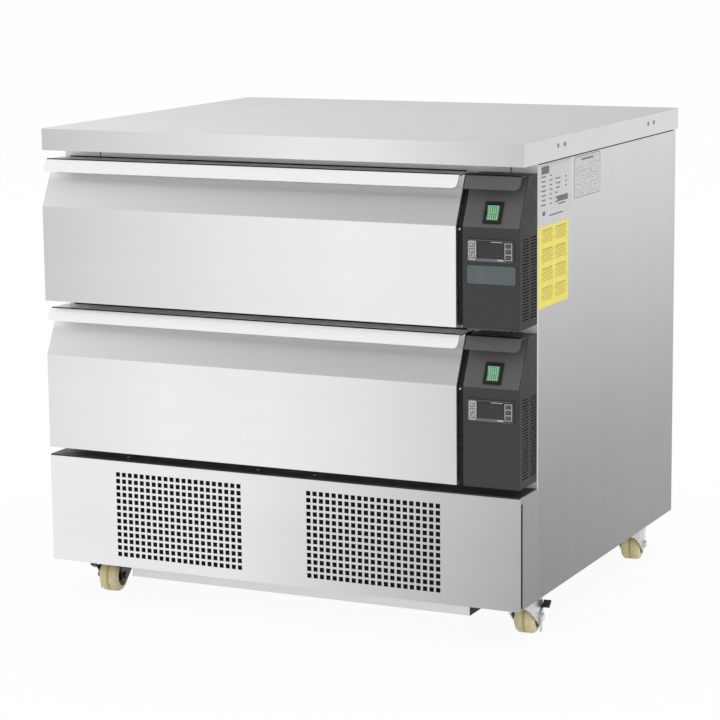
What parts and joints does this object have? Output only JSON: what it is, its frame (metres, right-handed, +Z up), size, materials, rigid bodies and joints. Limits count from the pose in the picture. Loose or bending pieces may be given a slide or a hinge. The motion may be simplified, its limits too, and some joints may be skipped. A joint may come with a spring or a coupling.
{
  "type": "drawer counter fridge freezer",
  "caption": "Stainless steel counter fridge freezer on castors, with insulated pull-out drawers, a control box beside each drawer and a vented base under a flat worktop.",
  "frame": {"origin": "middle of the bounding box, on the floor", "axes": "+X to the right of a person who faces the drawers, -Y to the front, +Z up"},
  "size_m": [0.9016, 0.7832, 0.83],
  "materials": {
    "polished_steel": "satin brushed stainless steel",
    "drawer_steel": "satin brushed stainless steel",
    "galvanised": "zinc plated sheet",
    "panel_board": "raw board",
    "foam": "rigid foam",
    "liner_steel": "bright sheet",
    "control_plastic": "fine grained",
    "black_plastic": "matt",
    "black_gloss": "glossy",
    "green_lens": "clear tinted",
    "seal_rubber": "matt",
    "key_rubber": "matt",
    "wheel_nylon": "smooth",
    "fork_zinc": "zinc plated",
    "fork_dark": "satin",
    "runner_steel": "zinc plated",
    "compressor_black": "satin",
    "coil_metal": "bare",
    "fastener_steel": "plain",
    "pedal_paint": "zinc plated"
  },
  "bodies": {
    "cabinet": {"back_panel": "galvanised", "base_floor": "galvanised", "base_grille_panel": "polished_steel", "base_ledge": "black_plastic", "cable_gland": "black_plastic", "castor_plates": "fork_zinc", "compressor": "compressor_black", "condenser": "coil_metal", "control_cover_lower": "control_plastic", "control_cover_upper": "control_plastic", "control_side_strips": "black_plastic", "controller_lower": "black_gloss", "controller_upper": "black_gloss", "drawer_liners": "liner_steel", "drip_tray": "galvanised", "evaporators": "coil_metal", "fan_shroud": "black_plastic", "front_frame": "polished_steel", "insulation_block": "foam", "runner_outers": "runner_steel", "side_panel_left": "polished_steel", "side_panel_right": "polished_steel", "switch_cases": "black_gloss", "trim_screws": "fastener_steel", "worktop": "polished_steel", "worktop_core": "panel_board"},
    "drawer_upper": {"drawer_front_upper": "drawer_steel", "drawer_inner_upper": "foam", "handle_lip_upper": "drawer_steel", "drawer_gasket_upper": "seal_rubber", "drawer_tub_upper": "liner_steel", "runner_inner_upper": "runner_steel"},
    "runner_upper": {"runner_middle_upper": "runner_steel"},
    "rocker_switch_upper": {"rocker_upper": "green_lens"},
    "button_upper_1": {"key_upper_1": "key_rubber"},
    "button_upper_2": {"key_upper_2": "key_rubber"},
    "button_upper_3": {"key_upper_3": "key_rubber"},
    "drawer_lower": {"drawer_front_lower": "drawer_steel", "drawer_inner_lower": "foam", "handle_lip_lower": "drawer_steel", "drawer_gasket_lower": "seal_rubber", "drawer_tub_lower": "liner_steel", "runner_inner_lower": "runner_steel"},
    "runner_lower": {"runner_middle_lower": "runner_steel"},
    "rocker_switch_lower": {"rocker_lower": "green_lens"},
    "button_lower_1": {"key_lower_1": "key_rubber"},
    "button_lower_2": {"key_lower_2": "key_rubber"},
    "button_lower_3": {"key_lower_3": "key_rubber"},
    "castor_front_left": {"castor_fork_front_left": "fork_dark"},
    "wheel_front_left": {"castor_wheel_front_left": "wheel_nylon"},
    "castor_front_right": {"castor_fork_front_right": "fork_zinc"},
    "wheel_front_right": {"castor_wheel_front_right": "wheel_nylon"},
    "castor_rear_left": {"castor_fork_rear_left": "fork_zinc"},
    "wheel_rear_left": {"castor_wheel_rear_left": "wheel_nylon"},
    "castor_rear_right": {"castor_fork_rear_right": "fork_zinc"},
    "wheel_rear_right": {"castor_wheel_rear_right": "wheel_nylon"},
    "brake_front_left": {"brake_pedal_front_left": "pedal_paint"},
    "brake_front_right": {"brake_pedal_front_right": "pedal_paint"},
    "fan": {"fan_blades": "black_plastic"}
  },
  "joints": [
    {"name": "drawer_upper_slide", "type": "slide", "parent": "cabinet", "child": "drawer_upper", "axis": [0, -1, 0], "range_m": [0, 0.5]},
    {"name": "runner_upper_slide", "type": "slide", "parent": "cabinet", "child": "runner_upper", "axis": [0, -1, 0], "range_m": [0, 0.25]},
    {"name": "drawer_lower_slide", "type": "slide", "parent": "cabinet", "child": "drawer_lower", "axis": [0, -1, 0], "range_m": [0, 0.5]},
    {"name": "runner_lower_slide", "type": "slide", "parent": "cabinet", "child": "runner_lower", "axis": [0, -1, 0], "range_m": [0, 0.25]},
    {"name": "rocker_upper_tip", "type": "hinge", "parent": "cabinet", "child": "rocker_switch_upper", "pos_m": [0.396, -0.37455, 0.71617], "axis": [1, 0, 0], "range_deg": [-12, 0]},
    {"name": "rocker_lower_tip", "type": "hinge", "parent": "cabinet", "child": "rocker_switch_lower", "pos_m": [0.396, -0.37455, 0.45517], "axis": [1, 0, 0], "range_deg": [-12, 0]},
    {"name": "key_upper_1_press", "type": "slide", "parent": "cabinet", "child": "button_upper_1", "axis": [0, 1, 0], "range_m": [0, 0.0007], "stiffness_N_per_m": 400, "springref_m": -0.0004},
    {"name": "key_upper_2_press", "type": "slide", "parent": "cabinet", "child": "button_upper_2", "axis": [0, 1, 0], "range_m": [0, 0.0007], "stiffness_N_per_m": 400, "springref_m": -0.0004},
    {"name": "key_upper_3_press", "type": "slide", "parent": "cabinet", "child": "button_upper_3", "axis": [0, 1, 0], "range_m": [0, 0.0007], "stiffness_N_per_m": 400, "springref_m": -0.0004},
    {"name": "key_lower_1_press", "type": "slide", "parent": "cabinet", "child": "button_lower_1", "axis": [0, 1, 0], "range_m": [0, 0.0007], "stiffness_N_per_m": 400, "springref_m": -0.0004},
    {"name": "key_lower_2_press", "type": "slide", "parent": "cabinet", "child": "button_lower_2", "axis": [0, 1, 0], "range_m": [0, 0.0007], "stiffness_N_per_m": 400, "springref_m": -0.0004},
    {"name": "key_lower_3_press", "type": "slide", "parent": "cabinet", "child": "button_lower_3", "axis": [0, 1, 0], "range_m": [0, 0.0007], "stiffness_N_per_m": 400, "springref_m": -0.0004},
    {"name": "castor_front_left_swivel", "type": "hinge", "parent": "cabinet", "child": "castor_front_left", "pos_m": [-0.364, -0.30035, 0.07], "axis": [0, 0, 1], "continuous": true},
    {"name": "castor_front_left_roll", "type": "hinge", "parent": "castor_front_left", "child": "wheel_front_left", "pos_m": [-0.3617, -0.32223, 0.029], "axis": [-0.9945, -0.1045, 0], "continuous": true},
    {"name": "brake_front_left_press", "type": "hinge", "parent": "castor_front_left", "child": "brake_front_left", "pos_m": [-0.3617, -0.32223, 0.029], "axis": [-0.9945, -0.1045, 0], "range_deg": [-15, 0]},
    {"name": "castor_front_right_swivel", "type": "hinge", "parent": "cabinet", "child": "castor_front_right", "pos_m": [0.419, -0.30035, 0.07], "axis": [0, 0, 1], "continuous": true},
    {"name": "castor_front_right_roll", "type": "hinge", "parent": "castor_front_right", "child": "wheel_front_right", "pos_m": [0.4167, -0.27847, 0.029], "axis": [0.9945, 0.1045, 0], "continuous": true},
    {"name": "brake_front_right_press", "type": "hinge", "parent": "castor_front_right", "child": "brake_front_right", "pos_m": [0.4167, -0.27847, 0.029], "axis": [0.9945, 0.1045, 0], "range_deg": [-15, 0]},
    {"name": "castor_rear_left_swivel", "type": "hinge", "parent": "cabinet", "child": "castor_rear_left", "pos_m": [-0.364, 0.23165, 0.07], "axis": [0, 0, 1], "continuous": true},
    {"name": "castor_rear_left_roll", "type": "hinge", "parent": "castor_rear_left", "child": "wheel_rear_left", "pos_m": [-0.36857, 0.25317, 0.029], "axis": [0.9781, 0.2079, 0], "continuous": true},
    {"name": "castor_rear_right_swivel", "type": "hinge", "parent": "cabinet", "child": "castor_rear_right", "pos_m": [0.419, 0.23165, 0.07], "axis": [0, 0, 1], "continuous": true},
    {"name": "castor_rear_right_roll", "type": "hinge", "parent": "castor_rear_right", "child": "wheel_rear_right", "pos_m": [0.41594, 0.25344, 0.029], "axis": [0.9903, 0.1392, 0], "continuous": true},
    {"name": "fan_spin", "type": "hinge", "parent": "cabinet", "child": "fan", "pos_m": [-0.245, -0.30035, 0.1515], "axis": [0, 1, 0], "continuous": true}
  ],
  "couplings": [
    {"joint": "runner_upper_slide", "follows": "drawer_upper_slide", "ratio": 0.5},
    {"joint": "runner_lower_slide", "follows": "drawer_lower_slide", "ratio": 0.5}
  ]
}
